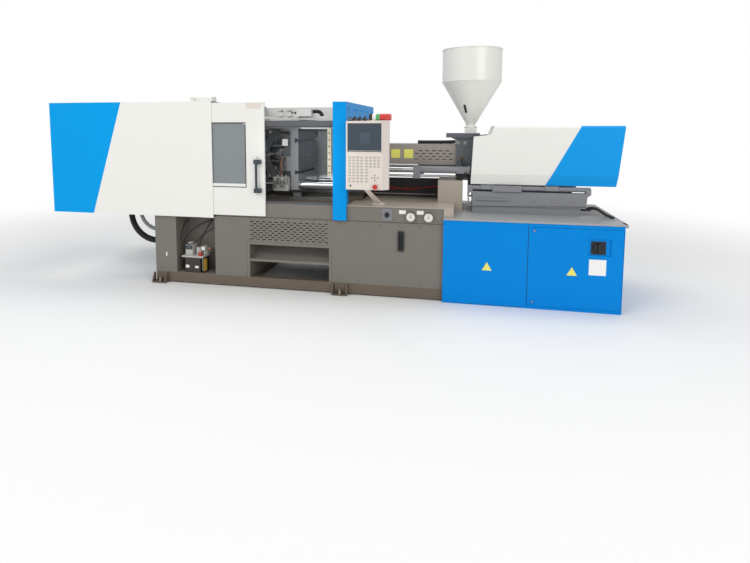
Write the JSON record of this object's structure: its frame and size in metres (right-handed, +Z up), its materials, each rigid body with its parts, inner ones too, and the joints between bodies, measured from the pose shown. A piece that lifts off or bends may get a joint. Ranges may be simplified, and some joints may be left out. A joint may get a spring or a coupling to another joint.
{
  "type": "horizontal injection moulding machine",
  "caption": "Horizontal injection moulding machine with a toggle clamp behind sliding doors, a feed hopper over a sliding injection unit, and a swivelling control panel.",
  "frame": {"origin": "middle of the bounding box's base, on the floor", "axes": "+X along the machine from the clamp to the injection unit, +Y from the operator's side to the rear, +Z up"},
  "size_m": [5.2, 1.568, 2.18],
  "materials": {
    "bed_grey": "satin dark grey machine paint",
    "deck_grey": "satin warm grey machine paint",
    "pressure_gauge_parts": "gauge housings with dials",
    "pump_grey": "light grey enamel",
    "amber_plastic": "translucent tank plastic",
    "black_rubber": "matte hose rubber",
    "grey_rubber": "matte light hose rubber",
    "blue_paint": "semi-gloss blue enamel",
    "ivory_paint": "semi-gloss ivory enamel",
    "frame_grey": "satin grey machine paint",
    "cast_grey": "machined and painted castings",
    "chromed_steel": "hard-chromed ground bars",
    "zinc_plate": "zinc-plated sheet",
    "panel_paint": "fine-textured light grey enamel",
    "black_plastic": "moulded black plastic",
    "window_glass": "tinted safety window",
    "link_steel": "machined steel",
    "guard_steel": "satin grey sheet",
    "hopper_paint": "semi-gloss off-white enamel",
    "red_plastic": "moulded red plastic"
  },
  "bodies": {
    "machine_bed": {"bed_frame": "bed_grey", "bed_panels": "bed_grey", "discharge_chute": "bed_grey", "gauge_strip": "bed_grey", "bed_deck": "deck_grey", "anchor_brackets": "bed_grey", "gauges": "pressure_gauge_parts", "lube_pump": "pump_grey", "lube_tank": "amber_plastic", "clamp_hose": "black_rubber", "drain_hose": "grey_rubber", "portal_guard": "blue_paint", "door_rails": "frame_grey", "clamp_covers": "ivory_paint", "cover_frame": "frame_grey", "end_guard": "ivory_paint", "fixed_platen": "cast_grey", "tie_bars": "chromed_steel", "tie_bar_nuts": "cast_grey", "switch_box": "ivory_paint", "carriage_rails": "frame_grey", "pull_rods": "chromed_steel", "cabinet_shell": "blue_paint", "cabinet_deck": "deck_grey", "electric_plate": "zinc_plate", "panel_bracket": "panel_paint"},
    "rear_platen": {"rear_platen": "cast_grey", "clamp_cylinder": "cast_grey"},
    "upper_rear_link": {"upper_rear_link": "link_steel"},
    "upper_front_link": {"upper_front_link": "link_steel"},
    "lower_rear_link": {"lower_rear_link": "link_steel"},
    "lower_front_link": {"lower_front_link": "link_steel"},
    "upper_cross_link": {"upper_cross_link": "link_steel"},
    "lower_cross_link": {"lower_cross_link": "link_steel"},
    "crosshead": {"crosshead": "cast_grey"},
    "moving_platen": {"moving_platen": "cast_grey", "ejector_cylinder": "cast_grey"},
    "ejector": {"ejector_plate": "link_steel"},
    "carriage": {"carriage_base": "frame_grey", "pull_cylinders": "frame_grey", "barrel": "link_steel", "barrel_guard": "guard_steel", "throat_block": "cast_grey", "hopper_slide": "cast_grey", "hopper": "hopper_paint", "injection_cylinders": "cast_grey", "injection_cover": "ivory_paint"},
    "hopper_lid": {"hopper_lid": "hopper_paint"},
    "injection_drive": {"thrust_plate": "cast_grey"},
    "screw": {"screw": "link_steel"},
    "front_door": {"front_door": "ivory_paint", "front_window": "window_glass", "front_handle": "black_plastic"},
    "rear_door": {"rear_door": "ivory_paint", "rear_window": "window_glass"},
    "cabinet_door": {"cabinet_door": "blue_paint"},
    "isolator_knob": {"isolator_knob": "black_plastic"},
    "selector_knob": {"selector_knob": "black_plastic"},
    "control_panel": {"control_panel": "panel_paint"},
    "stop_button": {"stop_button": "red_plastic"}
  },
  "joints": [
    {"name": "mould_height", "type": "slide", "parent": "machine_bed", "child": "rear_platen", "axis": [1, 0, 0], "range_m": [-0.15, 0]},
    {"name": "clamp_fold", "type": "hinge", "parent": "rear_platen", "child": "upper_rear_link", "pos_m": [-0.79267, 0.044, 1.478], "axis": [0, -1, 0], "range_deg": [0, 54]},
    {"name": "upper_knee", "type": "hinge", "parent": "upper_rear_link", "child": "upper_front_link", "pos_m": [-0.61634, 0.044, 1.23529], "axis": [0, -1, 0], "range_deg": [-108, 0]},
    {"name": "upper_platen_pin", "type": "hinge", "parent": "upper_front_link", "child": "moving_platen", "pos_m": [-0.44, 0.044, 1.478], "axis": [0, -1, 0], "range_deg": [0, 54]},
    {"name": "lower_fold", "type": "hinge", "parent": "rear_platen", "child": "lower_rear_link", "pos_m": [-0.79267, 0.044, 0.902], "axis": [0, 1, 0], "range_deg": [0, 54]},
    {"name": "lower_knee", "type": "hinge", "parent": "lower_rear_link", "child": "lower_front_link", "pos_m": [-0.61634, 0.044, 1.14471], "axis": [0, 1, 0], "range_deg": [-108, 0]},
    {"name": "upper_cross_pin", "type": "hinge", "parent": "upper_rear_link", "child": "upper_cross_link", "pos_m": [-0.74137, 0.044, 1.33705], "axis": [0, -1, 0], "range_deg": [-108, 0]},
    {"name": "crosshead_pin", "type": "hinge", "parent": "upper_cross_link", "child": "crosshead", "pos_m": [-0.69007, 0.044, 1.478], "axis": [0, -1, 0], "range_deg": [0, 54]},
    {"name": "lower_cross_pin", "type": "hinge", "parent": "lower_rear_link", "child": "lower_cross_link", "pos_m": [-0.74137, 0.044, 1.04295], "axis": [0, 1, 0], "range_deg": [-108, 0]},
    {"name": "ejector_stroke", "type": "slide", "parent": "moving_platen", "child": "ejector", "axis": [1, 0, 0], "range_m": [0, 0.08]},
    {"name": "carriage_travel", "type": "slide", "parent": "machine_bed", "child": "carriage", "axis": [1, 0, 0], "range_m": [-0.06, 0.2]},
    {"name": "screw_stroke", "type": "slide", "parent": "carriage", "child": "injection_drive", "axis": [1, 0, 0], "range_m": [0, 0.18]},
    {"name": "screw_spin", "type": "hinge", "parent": "injection_drive", "child": "screw", "pos_m": [1.53, 0.044, 1.19], "axis": [1, 0, 0], "continuous": true},
    {"name": "lid_hinge", "type": "hinge", "parent": "carriage", "child": "hopper_lid", "pos_m": [1.366, 0.3195, 2.166], "axis": [-1, 0, 0], "range_deg": [0, 100]},
    {"name": "front_door_slide", "type": "slide", "parent": "machine_bed", "child": "front_door", "axis": [1, 0, 0], "range_m": [0, 0.62]},
    {"name": "rear_door_slide", "type": "slide", "parent": "machine_bed", "child": "rear_door", "axis": [1, 0, 0], "range_m": [-0.62, 0]},
    {"name": "cabinet_door_hinge", "type": "hinge", "parent": "machine_bed", "child": "cabinet_door", "pos_m": [2.53, -0.652, 0.35], "axis": [0, 0, 1], "range_deg": [0, 100]},
    {"name": "isolator_turn", "type": "hinge", "parent": "cabinet_door", "child": "isolator_knob", "pos_m": [2.354, -0.656, 0.522], "axis": [0, 1, 0], "range_deg": [0, 90]},
    {"name": "selector_turn", "type": "hinge", "parent": "machine_bed", "child": "selector_knob", "pos_m": [0.686, -0.631, 0.722], "axis": [0, 1, 0], "range_deg": [-45, 45]},
    {"name": "panel_swivel", "type": "hinge", "parent": "machine_bed", "child": "control_panel", "pos_m": [0.5, -0.646, 1], "axis": [0, 0, 1], "range_deg": [-20, 75]},
    {"name": "stop_press", "type": "slide", "parent": "control_panel", "child": "stop_button", "axis": [0, 1, 0], "range_m": [0, 0.005], "stiffness_N_per_m": 1500}
  ],
  "couplings": [
    {"joint": "upper_knee", "follows": "clamp_fold", "ratio": -2},
    {"joint": "upper_platen_pin", "follows": "clamp_fold", "ratio": 1},
    {"joint": "lower_fold", "follows": "clamp_fold", "ratio": 1},
    {"joint": "lower_knee", "follows": "clamp_fold", "ratio": -2},
    {"joint": "upper_cross_pin", "follows": "clamp_fold", "ratio": -2},
    {"joint": "crosshead_pin", "follows": "clamp_fold", "ratio": 1},
    {"joint": "lower_cross_pin", "follows": "clamp_fold", "ratio": -2}
  ]
}
